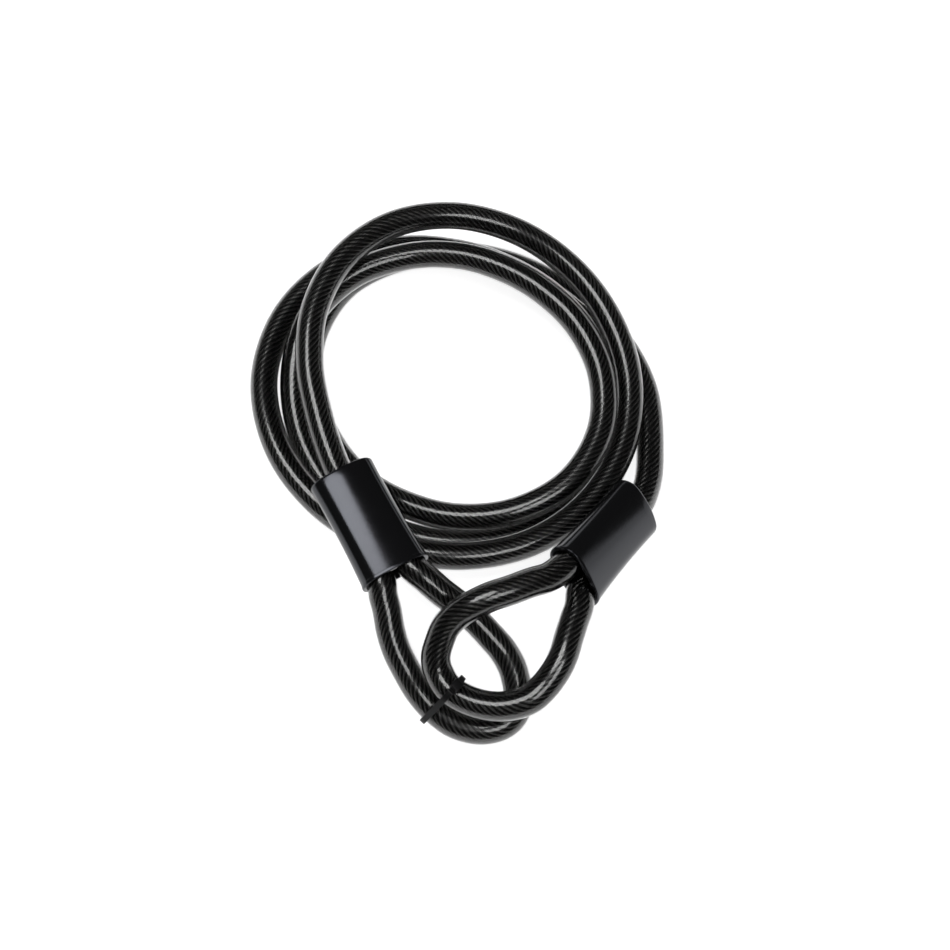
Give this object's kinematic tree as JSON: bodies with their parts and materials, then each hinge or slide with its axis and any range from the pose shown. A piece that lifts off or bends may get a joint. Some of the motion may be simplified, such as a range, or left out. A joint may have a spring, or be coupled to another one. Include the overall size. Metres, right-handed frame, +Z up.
{
  "type": "cable lock",
  "caption": "Coiled security cable: steel wire rope in a clear vinyl jacket, with a fixed eye and a moulded sleeve at each end, the eyes held together by a small tie.",
  "frame": {"origin": "centre of the footprint, on the surface that the coil lies on", "axes": "+Z up from the surface, +Y from the eyes towards the far side of the coil, +X towards sleeve B"},
  "size_m": [0.18, 0.237, 0.0506],
  "materials": {
    "wire_rope": "laid strands",
    "main_jacket": "clear smoke vinyl, glossy",
    "eye_jacket_a": "clear smoke vinyl, glossy",
    "eye_jacket_b": "clear smoke vinyl, glossy",
    "ferrule_a": "pressed",
    "ferrule_b": "pressed",
    "sleeve_a": "black, smooth moulded",
    "sleeve_b": "black, smooth moulded",
    "cable_tie": "black nylon"
  },
  "bodies": {
    "root": {"wire_rope": "wire_rope", "main_jacket": "main_jacket", "eye_jacket_a": "eye_jacket_a", "eye_jacket_b": "eye_jacket_b", "ferrule_a": "ferrule_a", "ferrule_b": "ferrule_b", "sleeve_a": "sleeve_a", "sleeve_b": "sleeve_b", "cable_tie": "cable_tie"}
  },
  "joints": []
}
